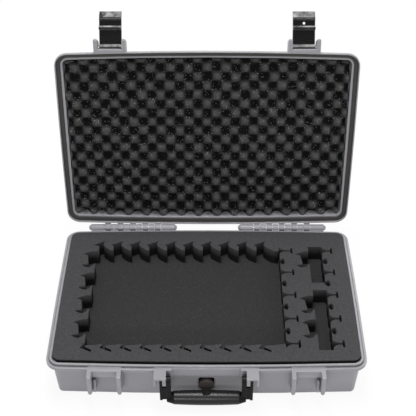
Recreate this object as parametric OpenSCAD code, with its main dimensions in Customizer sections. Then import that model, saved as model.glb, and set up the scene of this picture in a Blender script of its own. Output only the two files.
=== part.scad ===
// Hard carrying case with cut foam, drawn as it stands open on a table.
// Millimetres, +Z up.  The origin is the middle of the underside of the base,
// X runs along the front, the hinges are at +Y and the handle is at -Y.
// The lid and all that it carries are drawn shut first and are then swung open.

/* [Rim] */
// Width of the rim where lid and base meet, at its corners
rim_w = 475; // [465:1:520]
// Depth of the rim, front to back, at its corners
rim_d = 311.5; // [306:0.5:340]
// Corner radius of the rim in plan
rim_r = 20; // [16:1:26]
// Outward bow of the long sides at their middle
bow_long = 4.5; // [0:0.5:6]
// Outward bow of the short sides at their middle
bow_end = 1; // [0:0.5:3]
// Overhang of the rim outside the walls
overhang = 8; // [8:0.5:10]

/* [Base shell] */
// Height of the base from its underside to the parting plane
base_h = 69; // [64:1:90]
// Thickness of the walls and floor of both shells
wall = 3.5; // [2.5:0.1:4.5]
// How far the walls lean in from rim to floor
draft = 5; // [2:0.5:7]
// Radius of the edge between walls and floor
floor_edge_r = 7; // [6:1:12]
// Thickness of the base's rim
base_rim_t = 5; // [4:0.5:7]
// Height of the tongue that enters the lid's channel
tongue_h = 3.5; // [2.5:0.1:3.8]
// Width of the tongue
tongue_w = 3.2; // [2.4:0.1:3.4]
// Distance from the rim's edge to the tongue
tongue_in = 5; // [4.6:0.1:5.2]
// Depth of the drain groove outside the tongue
groove_depth = 1.2; // [0.6:0.1:2]
// Width of the drain groove
groove_w = 1.6; // [1:0.1:2]

/* [Lid shell] */
// Height of the lid from the parting plane to its top
lid_h = 25; // [24:1:40]
// Radius of the edge round the top of the lid
lid_edge_r = 13; // [10:1:16]
// Thickness of the outer edge of the lid's rim
lid_rim_t = 4.2; // [4:0.1:4.6]
// Height of the raised part of the lid's rim that holds the seal
seal_rim_h = 10; // [9.5:0.5:12]
// Thickness of the lip outside the channel
outer_lip = 1.8; // [1.4:0.1:2.4]
// Thickness of the lip between channel and foam
inner_lip = 2.8; // [2.4:0.1:3.4]
// How far the inner lip stands back from the parting plane
inner_lip_back = 5; // [4.5:0.1:6]
// Diameter of the round sealing cord
seal_d = 3.2; // [2.4:0.1:3.6]
// Thickness of the seal's flange
seal_flange_t = 0.4; // [0.3:0.1:0.4]
// Gap between the closed rims
parting_gap = 0.3; // [0.1:0.1:0.6]

/* [Hinges] */
// Distance from the middle of the rim's back edge to the hinge axis
hinge_out = 7; // [7:0.5:12]
// Radius of the hinge knuckles
knuckle_r = 6; // [5:0.5:6.5]
// Length of one hinge
hinge_l = 150; // [130:1:160]
// Distance of each hinge's middle from the middle of the case
hinge_x = 127.5; // [110:0.5:135]
// Length of the long knuckle at each end of a hinge
end_knuckle_l = 27; // [20:1:34]
// Number of short knuckles on the lid, per hinge
lid_knuckles = 5; // [3:1:7]
// Diameter of the hinge pins
hinge_pin_d = 5; // [3:0.5:6]
// Side gap between neighbouring knuckles
knuckle_gap = 0.9; // [0.2:0.05:1]
// Angle between lid and base when the lid stands open
lid_open = 95.4; // [90:0.1:110]

/* [Latches] */
// Distance of each latch's middle from the middle of the case
latch_x = 150; // [130:1:170]
// Width of the latch lever
latch_w = 34.6; // [28:0.2:36]
// Gap between the lever and the guard on either side of it
latch_side_gap = 1.4; // [1:0.1:2.5]
// Thickness of the guards on lid and base
guard_t = 6.2; // [4:0.1:7]
// Rounding of the edges of guards and ears
guard_edge = 1.6; // [0.4:0.1:2]
// How far the guards on the base stand out from the rim
guard_out = 17; // [15:0.5:20]
// Height of the guards on the base
guard_h = 38.5; // [32:0.5:44]
// How far the ears on the lid stand out from the rim
ear_out = 22; // [18:0.5:24]
// Height of the latch pin above the parting plane, lid shut
latch_pin_up = 13; // [12:0.5:14]
// Distance of the latch pin out from the rim
latch_pin_out = 2.4; // [2:0.1:3]
// Diameter of the latch pins
latch_pin_d = 4; // [3:0.5:4.5]
// Length of the lever from its pin to the finger lip
lever_l = 46; // [42:1:48]
// Length of the finger lip
lip_l = 11; // [8:1:14]
// Angle at which the finger lip flares out
lip_flare = 32; // [20:1:40]
// Thickness of the lever's plate
lever_t = 4; // [3:0.1:5]
// How far the catch stands out from the rim
catch_out = 3.6; // [2.6:0.1:4]
// Height of the catch
catch_h = 14.6; // [13:0.1:16]
// Height of the upright face of the catch
catch_face_h = 8; // [6:0.5:10]
// Gap between the shut lever and the catch
lever_gap = 2.6; // [2:0.1:3]
// Gap between the shut hook and the catch
hook_gap = 0.4; // [0.2:0.1:0.8]
// Height of the hook bar
hook_h = 5.8; // [4:0.1:7]
// How far the plate between the ears of the lid stands out
lid_plate_out = 5; // [3:0.1:5]
// Angle by which the levers are thrown open
latch_open = 115; // [90:1:125]
// Diameter of the padlock hole
lock_hole_d = 4; // [3:0.5:6]

/* [Handle] */
// Distance of the handle's pivot out from the rim
handle_out = 10; // [9.5:0.5:10.5]
// Distance of the handle's pivot below the parting plane
handle_down = 8; // [7.5:0.5:10]
// Length of the arms from pivot to the middle of the grip
arm_l = 39.5; // [38:0.5:42]
// Radius of the arms round the pivot
arm_r = 5; // [4:0.1:5.5]
// Distance between the insides of the main arms
hand_w = 104.4; // [100:0.4:112]
// Width of each main arm
arm_w = 6.5; // [5:0.5:8]
// Width of the inner lug of each bracket
inner_lug_w = 5; // [4:0.1:6]
// Radius of the outer fork tine of the handle round the pivot
tine_r = 4.2; // [3.5:0.1:4.4]
// Width of the outer fork tine of the handle
tine_w = 4; // [3:0.1:5]
// Free space between the fork tine and the outer lug
tine_space = 4.8; // [1:0.1:6]
// Width of the outer lug of each bracket
outer_lug_w = 3.5; // [3:0.1:5]
// Side gap between arms and lugs
arm_gap = 0.5; // [0.3:0.1:0.8]
// How far the brackets stand out from the rim
bracket_out = 17.3; // [17:0.1:20]
// Thickness of the top plate of the brackets
bracket_plate_t = 3; // [2:0.1:3]
// Height of the lugs of the brackets
lug_h = 18; // [16:0.5:20]
// Distance from the pivot to the link between arm and tine
link_in = 14; // [13.5:0.5:16]
// Length of the web that links arm and tine
link_l = 25; // [16:0.5:25]
// Radius of the grip at its middle
grip_r = 11.4; // [10:0.1:11.8]
// Radius that the grip loses from its middle to its ends
grip_belly = 1.2; // [0.4:0.1:2]
// Thickness of the soft layer at the ends of the grip
grip_skin = 3; // [2:0.1:3.6]
// Radius of the shoulders where they meet the arms
shoulder_r = 6.6; // [6:0.1:8]
// Length of the soft grip
grip_l = 96; // [88:1:98]
// Depth of the saddle in the grip that bares the valve's knob
saddle_depth = 1.5; // [0.5:0.5:3]
// Diameter of the handle pins
handle_pin_d = 4; // [3:0.5:4.5]

/* [Pressure valve] */
// Width and height of the valve's pocket in the front wall
valve_pocket = 24; // [23:0.5:26]
// Depth of the valve's pocket
valve_pocket_depth = 3; // [2:0.5:4]
// Distance of the valve's axis below the parting plane
valve_down = 38; // [34:0.5:38]
// Thickness of the valve's plate
valve_plate_t = 2; // [1.6:0.1:3]
// Diameter of the threaded barrel
valve_barrel_d = 14; // [12:0.5:15]
// Diameter of the knob
knob_d = 22; // [16:0.2:22]
// Thickness of the knob
knob_t = 6.5; // [4:0.1:7]

/* [Foam] */
// Thickness of the upper foam with the pockets
block_t = 27.5; // [18:0.5:28]
// How far the foam stands above the parting plane
foam_proud = 5; // [0:0.1:5]
// Distance from the rim's edge to the foam where it lies on the ledge
ledge_in = 8.5; // [8.5:0.1:11]
// Width of the main pocket
pocket_w = 303; // [290:1:306]
// Depth of the main pocket, front to back
pocket_d = 212; // [200:1:220]
// Foam left of the main pocket
left_margin = 41; // [36:1:44]
// Foam behind the main pocket
back_margin = 41.5; // [34:0.5:44]
// Foam between main pocket and small pockets
divider_w = 48; // [46:1:50]
// Width of the small pockets
small_w = 22; // [18:1:26]
// Length of the back small pocket
small_back_l = 88; // [70:1:90]
// Length of the front small pocket
small_front_l = 130; // [110:1:134]
// Foam left between the two small pockets
small_bridge = 17; // [14:1:30]
// Spacing of the slots along the front and back
slot_pitch = 29.8; // [26:0.2:34]
// Spacing of the slots along the ends
end_pitch = 53; // [48:0.1:56]
// Depth of the slots on the right of the main pocket
slot_l = 20; // [16:0.5:24]
// Depth of the slots on the right of the small pockets
small_slot_l = 16; // [12:0.5:20]
// Depth of the slots behind the main pocket
back_slot_l = 25; // [18:0.5:27]
// Depth of the notches on the left of the pockets
notch_l = 22; // [16:0.5:24]
// Width of a slot's stem
slot_w = 3.6; // [2.6:0.1:6]
// Width of a slot's cross bar
slot_bar = 14; // [10:0.5:18]
// Number of foam bumps across the lid
bump_columns = 30; // [20:2:34]
// Number of foam bump rows in the lid
bump_rows = 18; // [12:2:22]
// Height of the foam bumps
bump_h = 11; // [6:0.5:13]

/* [Hidden] */

SHELL = [0.62, 0.62, 0.65];
BLACK = [0.10, 0.10, 0.11];
STEEL = [0.80, 0.80, 0.82];
FOAM = [0.27, 0.27, 0.27];

eps = 0.01;
pin_fit = 0.05;           // radial play of every pin in its bores
seat = 0.3;               // play of foam and loose seats
corner_steps = 6;
side_steps = 6;
left = -1;
right = 1;
$fn = 48;

inside = overhang + wall;                 // rim edge to the inside of the walls
lid_z = base_h + parting_gap;             // underside of the shut lid
rim_mid_y = rim_d / 2 + bow_long;         // rim edge at the middle of the front
hinge_y = rim_mid_y + hinge_out;
hinge_z = base_h;
latch_edge = rim_edge(latch_x);           // rim edge beside a latch
latch_pin_y = -(latch_edge + latch_pin_out);
latch_pin_z = base_h + latch_pin_up;
guard_gap = latch_w + 2 * latch_side_gap; // clear width between two guards
handle_y = -(rim_mid_y + handle_out);
handle_z = base_h - handle_down;
valve_z = base_h - valve_down;
foam_top = base_h + foam_proud;
block_z = foam_top - block_t;
block_in = inside + draft * (base_h - block_z) / base_h + seat;

// Rim edge, measured from the middle, at a distance x along the front
function rim_edge(x) = rim_d / 2 + bow_long * (1 - pow(2 * x / rim_w, 2));

// Moves a point of a straight-sided outline out by the bow of its side
function bowed(p) = [
  p.x * (1 + bow_end * (1 - pow(2 * p.y / rim_d, 2)) / (rim_w / 2)),
  p.y * (1 + bow_long * (1 - pow(2 * p.x / rim_w, 2)) / (rim_d / 2))
];

// The rim's outline, drawn in by a distance
function rim_points(inset) =
  let (r = rim_r - inset > 2 ? rim_r - inset : 2)
  let (cx = rim_w / 2 - inset - r, cy = rim_d / 2 - inset - r)
  [for (q = [0:3], s = [0:corner_steps + side_steps - 1])
    let (sx = q == 0 || q == 3 ? 1 : -1, sy = q < 2 ? 1 : -1)
    let (a = 90 * q + 90 * min(s, corner_steps) / corner_steps)
    let (t = max(s - corner_steps, 0) / side_steps)
    let (end = [sx * cx + r * cos(a), sy * cy + r * sin(a)])
    let (run = q == 0 ? [-2 * cx, 0] : q == 1 ? [0, -2 * cy] : q == 2 ? [2 * cx, 0] : [0, 2 * cy])
    bowed(end + t * run)];

// A flat slice of the rim's outline between two heights
module rim_slice(inset, z0, z1) {
  translate([0, 0, z0]) linear_extrude(z1 - z0) polygon(rim_points(inset));
}

// A ring that follows the rim between two insets and two heights
module rim_ring(inset_out, inset_in, z0, z1) {
  difference() {
    rim_slice(inset_out, z0, z1);
    rim_slice(inset_in, z0 - 1, z1 + 1);
  }
}

// A tub with leaning walls and a round lower edge, as one smooth solid
module tub(inset, z_floor, z_top, lean, edge_r) {
  r_top = max(rim_r - inset, edge_r);
  hx = rim_w / 2 - inset;
  hull() {
    for (sx = [-1:0.5:1], sy = [-1, 1]) {
      x = sx * (hx - r_top);
      y = sy * (rim_edge(sx * hx) - inset - r_top);
      translate([x, y, z_top - 1]) cylinder(h = 1, r = r_top, $fn = 32);
      r_low = edge_r;
      shrink = (hx - lean - r_low) / (hx - r_top);
      translate([x * shrink, y + sy * (r_top - r_low - lean), z_floor + r_low * cos(180 / 32)])
        sphere(r = r_low, $fn = 32);
    }
  }
}

// A plate of thickness t at x, drawn as an outline in Y and Z
module cross_plate(x, t) {
  translate([x - t / 2, 0, 0]) rotate([90, 0, 90]) linear_extrude(t) children();
}

// A round bar along X between two places
module bar_x(x0, x1, y, z, r) {
  translate([x0, y, z]) rotate([0, 90, 0]) cylinder(h = x1 - x0, r = r);
}

// A round bar along +Y from a place
module bar_y(x, y, z, l, r) {
  translate([x, y, z]) rotate([-90, 0, 0]) cylinder(h = l, r = r);
}

// Swings what is drawn shut to where the open lid stands
module on_open_lid() {
  translate([0, hinge_y, hinge_z]) rotate([-lid_open, 0, 0]) translate([0, -hinge_y, -hinge_z]) children();
}

// ---- hinges ----

knuckles = 2 * lid_knuckles - 1;
knuckle_l = (hinge_l - 2 * end_knuckle_l) / knuckles;
hinge_start = hinge_x - hinge_l / 2;
chamfer_l = knuckle_r * 0.7;

// Start of short knuckle k, counted from the inner end of the hinge
function knuckle_start(k) = hinge_start + end_knuckle_l + k * knuckle_l;

// The short knuckles whose number has the given remainder by two
module short_knuckles(remainder, web_z0, web_z1) {
  for (k = [remainder:2:knuckles - 1]) {
    x0 = knuckle_start(k) + knuckle_gap / 2;
    x1 = knuckle_start(k + 1) - knuckle_gap / 2;
    bar_x(x0, x1, hinge_y, hinge_z, knuckle_r);
    y0 = rim_edge(x1) - outer_lip / 2;
    translate([x0, y0, web_z0]) cube([x1 - x0, hinge_y - y0, web_z1 - web_z0]);
  }
}

// One long knuckle of the base, from its chamfered end at x0 to x1
module long_knuckle(x0, x1) {
  way = x1 > x0 ? 1 : -1;
  translate([x0, hinge_y, hinge_z]) rotate([0, 90 * way, 0]) {
    cylinder(h = chamfer_l, r1 = knuckle_r * 0.45, r2 = knuckle_r);
    translate([0, 0, chamfer_l - eps]) cylinder(h = abs(x1 - x0) - chamfer_l + eps, r = knuckle_r);
  }
  low = min(x0 + way * chamfer_l, x1);
  translate([low, rim_d / 2 - 3, hinge_z - knuckle_r])
    cube([abs(x1 - x0) - chamfer_l, hinge_y - rim_d / 2 + 3, knuckle_r - parting_gap]);
}

module base_hinge() {
  long_knuckle(hinge_start, knuckle_start(0) - knuckle_gap / 2);
  long_knuckle(hinge_start + hinge_l, knuckle_start(knuckles) + knuckle_gap / 2);
  short_knuckles(1, hinge_z - knuckle_r, hinge_z - parting_gap);
}

module hinge_bore(r) {
  bar_x(hinge_start - 1, hinge_start + hinge_l + 1, hinge_y, hinge_z, r);
}

module hinge_pin(side) {
  color(STEEL) translate([side == left ? -2 * hinge_x : 0, 0, 0])
    bar_x(hinge_start + 1, hinge_start + hinge_l - 1, hinge_y, hinge_z, hinge_pin_d / 2);
}

// ---- latches ----

catch_y = -(latch_edge + catch_out);
hook_z = base_h - catch_h - hook_gap;
lever_y = catch_y - lever_gap;
hub_r = latch_pin_d / 2 + 3.5;
guard_z = base_h - guard_h;
short_rib_w = 3.8;

ear_top = lid_z + lid_h - 2.5;
ear_root = -(latch_edge - outer_lip + 0.4);

// Outline of a guard on the base: upright in front, rounded below, cut back to the wall
module base_guard_outline(trim) {
  outer = -(latch_edge + guard_out) + trim;
  inner = -(latch_edge - overhang - 2.5);
  low = guard_z + trim;
  lean = draft * (guard_h + 9) / base_h;
  polygon([
    [inner, base_h], [outer + 1, base_h], [outer, base_h - 1], [outer, base_h - 3],
    [outer + 0.7, low + 3], [outer + 1.6, low + 0.8], [outer + 3.4, low],
    [inner - 4, low - 9], [inner + lean, low - 9]
  ]);
}

// Outline of an ear on the lid, drawn shut, outside the rim
module lid_ear_outline(trim) {
  outer = -(latch_edge + ear_out) + trim;
  mid = -(latch_edge + ear_out / 2) + trim;
  polygon([
    [ear_root, lid_z], [outer + 1, lid_z], [outer, lid_z + 1], [outer, lid_z + 3],
    [mid, ear_top - 1.5], [mid + 3, ear_top], [ear_root, ear_top]
  ]);
}

// The foot of an ear, which stands on the lid's wall clear of the seal's channel
module lid_ear_root() {
  wall_y = -(latch_edge - inside + 0.6);
  polygon([
    [ear_root - 1, lid_z + lid_rim_t - 0.4], [-(latch_edge - overhang / 2), lid_z + lid_rim_t - 0.4],
    [-(latch_edge - overhang / 2), lid_z + seal_rim_h - 0.5], [wall_y, lid_z + seal_rim_h - 0.5],
    [wall_y, lid_z + lid_h - lid_edge_r], [wall_y + 2.8, ear_top], [ear_root - 1, ear_top]
  ]);
}

function guard_x(s) = latch_x + s * (guard_gap + guard_t) / 2;

// The catch between the guards, the guards, and the short rib below the catch
module base_catch() {
  inner = -(latch_edge - overhang - 2.5);
  cross_plate(latch_x, guard_gap + 2) polygon([
    [inner, base_h], [catch_y, base_h], [catch_y, base_h - catch_face_h],
    [catch_y + 1.8, base_h - catch_h], [inner, base_h - catch_h]
  ]);
  for (s = [-1, 1]) hull() {
    cross_plate(guard_x(s), guard_t) base_guard_outline(guard_edge);
    cross_plate(guard_x(s), guard_t - 2 * guard_edge) base_guard_outline(0);
  }
  cross_plate(latch_x + (guard_gap - short_rib_w) / 2 - 1, short_rib_w) polygon([
    [inner, base_h - catch_h - 8], [-(latch_edge + 1), base_h - catch_h - 8], [-(latch_edge + 4), guard_z + 2],
    [-(latch_edge + 6), guard_z - 4], [-(latch_edge + 4), guard_z - 6], [inner + 1, guard_z - 8],
    [inner + draft * guard_h / base_h, guard_z - 8]
  ]);
}

module latch_pin_bar(r) {
  half = guard_gap / 2 + guard_t;
  bar_x(latch_x - half - 1, latch_x + half + 1, latch_pin_y, latch_pin_z, r);
}

module lid_latch_mount() {
  translate([latch_x - guard_gap / 2 - 1, -(latch_edge + lid_plate_out), lid_z])
    cube([guard_gap + 2, lid_plate_out + outer_lip - 0.4, lid_rim_t]);
  for (s = [-1, 1]) {
    hull() {
      cross_plate(guard_x(s), guard_t) lid_ear_outline(guard_edge);
      cross_plate(guard_x(s), guard_t - 2 * guard_edge) lid_ear_outline(0);
    }
    cross_plate(guard_x(s), guard_t) lid_ear_root();
  }
}

// Outline of the lever, shut, in Y and Z
module lever_outline() {
  z_lip = latch_pin_z - lever_l;
  back = lever_y - lever_t;
  tip = [-lip_l * sin(lip_flare), -lip_l * cos(lip_flare)];
  hook_low = hook_z - hook_h;
  difference() {
    union() {
      translate([latch_pin_y, latch_pin_z]) circle(r = hub_r);
      polygon([
        [latch_pin_y + 1, latch_pin_z + hub_r - 1], [back + 2, latch_pin_z + hub_r - 1], [back, latch_pin_z + 2],
        [back, z_lip], [back + tip.x, z_lip + tip.y], [back + tip.x + lever_t - 1, z_lip + tip.y - 1],
        [lever_y, z_lip - 1], [lever_y, z_lip + 1], [lever_y + 2, z_lip + 1], [lever_y + 2, z_lip + 3],
        [lever_y, z_lip + 3], [lever_y, hook_low], [lever_y + 5.5, hook_low], [lever_y + 8.2, hook_low + 2],
        [lever_y + 8.2, hook_z - 1.2], [lever_y + 7.4, hook_z], [lever_y, hook_z],
        [lever_y, latch_pin_z - hub_r], [latch_pin_y + 1, latch_pin_z - hub_r + 1]
      ]);
    }
    translate([latch_pin_y, latch_pin_z]) circle(r = latch_pin_d / 2 + pin_fit);
  }
}

// Throws a shut lever open about its pin
module thrown_open() {
  translate([0, latch_pin_y, latch_pin_z]) rotate([-latch_open, 0, 0])
    translate([0, -latch_pin_y, -latch_pin_z]) children();
}

module latch(side, locked) {
  color(BLACK) on_open_lid() thrown_open() translate([side == left ? -2 * latch_x : 0, 0, 0]) difference() {
    cross_plate(latch_x, latch_w) lever_outline();
    if (locked) bar_y(latch_x, lever_y - lever_t - 1, latch_pin_z - lever_l + 8, 20, lock_hole_d / 2);
  }
}

module latch_pin(side) {
  half = guard_gap / 2 + guard_t - 0.5;
  color(STEEL) on_open_lid() translate([side == left ? -2 * latch_x : 0, 0, 0])
    bar_x(latch_x - half, latch_x + half, latch_pin_y, latch_pin_z, latch_pin_d / 2);
}

// ---- handle ----

arm_in = hand_w / 2;
lug_in = arm_in + arm_w + arm_gap;
tine_in = lug_in + inner_lug_w + arm_gap;
outer_lug_in = tine_in + tine_w + tine_space;
bracket_end = outer_lug_in + outer_lug_w;
panel_half = arm_in - 1.5;
panel_z = base_h - 15.5;
panel_y = -(rim_mid_y - 4.2);
front_root_y = -(rim_mid_y - overhang - 3);

// Outline of a lug, from the wall to its rounded front
module lug_outline() {
  front = -(rim_mid_y + bracket_out);
  foot_r = 5;
  union() {
    translate([front, base_h - lug_h + foot_r]) square([front_root_y - front, lug_h - foot_r]);
    translate([front + foot_r, base_h - lug_h]) square([front_root_y - front - foot_r, lug_h - 1]);
    translate([front + foot_r, base_h - lug_h + foot_r]) circle(r = foot_r);
  }
}

// A bracket of two lugs under one top plate, and the thick wall beside it
module bracket() {
  cross_plate(lug_in + inner_lug_w / 2, inner_lug_w) lug_outline();
  cross_plate(outer_lug_in + outer_lug_w / 2, outer_lug_w) lug_outline();
  translate([lug_in, -(rim_mid_y + bracket_out), base_h - bracket_plate_t])
    cube([bracket_end - lug_in, bracket_out + rim_mid_y + front_root_y, bracket_plate_t]);
  translate([panel_half, -rim_mid_y + 0.4, panel_z])
    cube([lug_in + 1 - panel_half, rim_mid_y - 0.4 + front_root_y, base_h - panel_z]);
}

module handle_pin_bore(r) {
  bar_x(arm_in + 2, bracket_end + 1, handle_y, handle_z, r);
}

// The plain panel between the brackets, set back from the rim
module front_panel() {
  translate([-panel_half - 1, panel_y, panel_z])
    cube([2 * panel_half + 2, front_root_y - panel_y, base_h - panel_z]);
}

module front_panel_cut() {
  translate([-panel_half, panel_y - 20, panel_z]) cube([2 * panel_half, 20, base_h]);
}

// A straight arm from the pivot to the middle of the grip
module arm(x0, x1, r) {
  bar_x(x0, x1, 0, 0, r);
  translate([x0, -r, -arm_l]) cube([x1 - x0, 2 * r, arm_l]);
  bar_x(x0, x1, 0, -arm_l, r);
}

grip_end_r = grip_r - grip_belly;
core_r = grip_end_r - grip_skin;
grip_steps = 12;

// The outline of the grip from one end to the other, thickest at its middle
grip_profile = concat([[0, -grip_l / 2]],
  [for (i = [-grip_steps:grip_steps]) [grip_r - grip_belly * pow(i / grip_steps, 2), grip_l / 2 * i / grip_steps]],
  [[0, grip_l / 2]]);

module handle_frame() {
  color(BLACK) difference() {
    translate([0, handle_y, handle_z]) {
      bar_x(-grip_l / 2 - 1, grip_l / 2 + 1, 0, -arm_l, core_r);
      for (s = [0, 1]) mirror([s, 0, 0]) {
        arm(arm_in, arm_in + arm_w, arm_r);
        arm(tine_in, tine_in + tine_w, tine_r);
        translate([arm_in, -tine_r, -link_in - link_l]) cube([tine_in + tine_w - arm_in, 2 * tine_r, link_l]);
        translate([grip_l / 2 + seat, 0, -arm_l]) rotate([0, 90, 0])
          cylinder(h = arm_in + arm_w - grip_l / 2 - seat, r1 = grip_end_r - 0.4, r2 = shoulder_r);
      }
    }
    for (s = [0, 1]) mirror([s, 0, 0]) handle_pin_bore(handle_pin_d / 2 + pin_fit);
  }
}

module handle_grip() {
  saddle_r = 16;
  color(BLACK) translate([0, handle_y, handle_z]) difference() {
    translate([0, 0, -arm_l]) rotate([0, 90, 0]) rotate_extrude() polygon(grip_profile);
    bar_x(-grip_l / 2 - 1, grip_l / 2 + 1, 0, -arm_l, core_r + pin_fit);
    bar_y(0, -2 * grip_r, -arm_l + grip_r + saddle_r - saddle_depth, 4 * grip_r, saddle_r);
  }
}

module handle_pin(side) {
  color(STEEL) mirror([side == left ? 1 : 0, 0, 0])
    bar_x(arm_in + 2.5, bracket_end - 0.4, handle_y, handle_z, handle_pin_d / 2);
}

// ---- pressure valve ----

valve_face_y = -(rim_mid_y - overhang - draft * valve_down / base_h + 0.5);
valve_seat_y = valve_face_y + valve_pocket_depth;
valve_plate = valve_pocket - 2 * seat;
knob_gap = 0.3;
knob_shaft_r = 3;
ring_r = valve_barrel_d / 2 + 1.8;
ring_wire_r = 0.7;
valve_nut_t = 3.6;

module rounded_square(w, r) {
  square([w - 2 * r, w], center = true);
  square([w, w - 2 * r], center = true);
  for (sx = [-1, 1], sy = [-1, 1]) translate([sx * (w / 2 - r), sy * (w / 2 - r)]) circle(r = r);
}

// A slab with rounded corners round the valve's axis, from y to y + t
module valve_slab(w, r, y, t) {
  translate([0, y + t, valve_z]) rotate([90, 0, 0]) linear_extrude(t) rounded_square(w, r);
}

module valve_pad() {
  valve_slab(valve_pocket + 2 * wall, 5, valve_face_y, valve_pocket_depth + wall);
}

module valve_body() {
  color(BLACK) difference() {
    union() {
      valve_slab(valve_plate, 3.4, valve_seat_y - valve_plate_t, valve_plate_t);
      bar_y(0, valve_seat_y - 1, valve_z, wall + valve_nut_t + 1.6, valve_barrel_d / 2);
    }
    bar_y(0, valve_seat_y - valve_plate_t - 1, valve_z, 30, knob_shaft_r + pin_fit);
    translate([0, valve_seat_y, valve_z]) rotate([90, 0, 0]) rotate_extrude()
      translate([ring_r - ring_wire_r - 0.1, -1]) square([2 * ring_wire_r + 0.2, 2 * ring_wire_r + 1 + pin_fit]);
  }
}

module valve_knob() {
  color([0.24, 0.22, 0.21]) union() {
    bar_y(0, valve_seat_y - valve_plate_t - knob_gap - knob_t, valve_z, knob_t, knob_d / 2);
    bar_y(0, valve_seat_y - valve_plate_t - knob_gap - 1, valve_z, valve_plate_t + wall + 1, knob_shaft_r);
  }
}

module valve_ring() {
  color(BLACK) translate([0, valve_seat_y, valve_z]) rotate([90, 0, 0]) rotate_extrude()
    translate([ring_r, ring_wire_r]) circle(r = ring_wire_r);
}

module valve_nut() {
  color(BLACK) difference() {
    translate([0, valve_seat_y + wall, valve_z]) rotate([-90, 0, 0])
      cylinder(h = valve_nut_t, r = valve_barrel_d / 2 + 4, $fn = 6);
    bar_y(0, valve_seat_y, valve_z, 30, valve_barrel_d / 2 + pin_fit);
  }
}

// ---- shells ----

module base_shell() {
  color(SHELL) difference() {
    union() {
      difference() {
        union() {
          tub(overhang, 0, base_h - 1, draft, floor_edge_r);
          rim_slice(0, base_h - base_rim_t, base_h);
          rim_ring(tongue_in, tongue_in + tongue_w, base_h - 1, base_h + tongue_h);
          front_panel();
        }
        tub(inside, wall, base_h + 2, draft, floor_edge_r - wall);
        rim_ring(tongue_in - groove_w, tongue_in, base_h - groove_depth, base_h + eps);
        front_panel_cut();
        valve_slab(valve_pocket, 3.6, valve_face_y - 5, valve_pocket_depth + 5);
      }
      difference() {
        valve_pad();
        valve_slab(valve_pocket, 3.6, valve_face_y - 1, valve_pocket_depth + 1);
      }
      for (s = [0, 1]) mirror([s, 0, 0]) {
        base_hinge();
        base_catch();
        bracket();
      }
    }
    for (s = [0, 1]) mirror([s, 0, 0]) {
      hinge_bore(hinge_pin_d / 2 + pin_fit);
      handle_pin_bore(handle_pin_d / 2 + pin_fit);
    }
    bar_y(0, valve_seat_y - 1, valve_z, wall + 2, valve_barrel_d / 2 + pin_fit);
  }
}

channel_in = inside - inner_lip;          // rim edge to the far side of the channel
seal_in = channel_in - seat / 2 - seal_d / 2;
seal_floor = inner_lip_back - 1 + seal_d + 0.1;

module lid_shell() {
  color(SHELL) on_open_lid() difference() {
    union() {
      difference() {
        union() {
          rim_slice(0, lid_z, lid_z + lid_rim_t);
          rim_slice(overhang / 2 - 0.4, lid_z + lid_rim_t - eps, lid_z + seal_rim_h);
          translate([0, 0, 2 * lid_z + lid_h]) mirror([0, 0, 1])
            tub(overhang, lid_z, lid_z + lid_h - 2, 0.5, lid_edge_r);
        }
        translate([0, 0, 2 * lid_z + lid_h]) mirror([0, 0, 1])
          tub(inside, lid_z + wall, lid_z + lid_h + 2, 0.5, lid_edge_r - wall);
        rim_slice(channel_in, lid_z - 1, lid_z + inner_lip_back);
        rim_ring(outer_lip, channel_in, lid_z - 1, lid_z + lid_rim_t - 0.3);
        rim_ring(seal_in - seal_d / 2 - seat / 2, channel_in, lid_z - 1, lid_z + seal_floor);
      }
      for (s = [0, 1]) mirror([s, 0, 0]) {
        short_knuckles(0, lid_z, hinge_z + knuckle_r);
        lid_latch_mount();
      }
    }
    for (s = [0, 1]) mirror([s, 0, 0]) {
      hinge_bore(hinge_pin_d / 2 + pin_fit);
      latch_pin_bar(latch_pin_d / 2 + pin_fit);
    }
  }
}

// The seal's bead is square with its corners cut, as it lies squeezed in its seat. A thin
// flange runs from it over the floor of the channel, just above the tongue of the shut case
module lid_seal() {
  half = seal_d / 2;
  z = lid_z + seal_floor - half - 0.05;
  flange_z = lid_z + lid_rim_t - 0.45 - seal_flange_t;
  color([0.25, 0.24, 0.24]) on_open_lid() union() {
    rim_ring(seal_in - half, seal_in + half, z - half / 2, z + half / 2);
    rim_ring(seal_in - half * 0.6, seal_in + half * 0.6, flange_z, z + half);
    rim_ring(outer_lip + 0.2, seal_in, flange_z, flange_z + seal_flange_t);
  }
}

// ---- foam ----

foam_left = -(rim_w / 2 - block_in);
foam_right = rim_w / 2 - block_in;
foam_back = rim_d / 2 - block_in;
foam_front = -(rim_d / 2 - block_in - 1.5);
pocket_x0 = foam_left + left_margin;
pocket_x1 = pocket_x0 + pocket_w;
pocket_y1 = foam_back - back_margin;
pocket_y0 = pocket_y1 - pocket_d;
small_x0 = pocket_x1 + divider_w;
small_x1 = small_x0 + small_w;
small_y1 = pocket_y1 + 11;
bar_t = 3.2;
slots = floor((pocket_w - 1) / slot_pitch) + 1;
slot_x0 = pocket_x0 - 3;
end_y0 = pocket_y1 + 1;
end_slots = 5;

module foam_outline(in, back_r, front_r) {
  x0 = foam_left + in;
  x1 = foam_right - in;
  y0 = foam_front + in;
  y1 = foam_back - in;
  polygon([for (q = [0:3], k = [0:corner_steps])
    let (r = q < 2 ? back_r : front_r, a = 90 * q + 90 * k / corner_steps)
    [(q == 0 || q == 3 ? x1 - r : x0 + r) + r * cos(a), (q < 2 ? y1 - r : y0 + r) + r * sin(a)]]);
}

// A slot cut back from a pocket's edge along +Y, with a round mouth and a cross bar
module t_slot(stem, bar) {
  polygon([
    [-9, -1], [-6, 1], [-3.5, 4], [-slot_w / 2, 8], [-slot_w / 2, stem],
    [slot_w / 2, stem], [slot_w / 2, 8], [3.5, 4], [6, 1], [9, -1]
  ]);
  translate([-bar / 2, stem - bar_t / 2]) square([bar, bar_t]);
}

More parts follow.
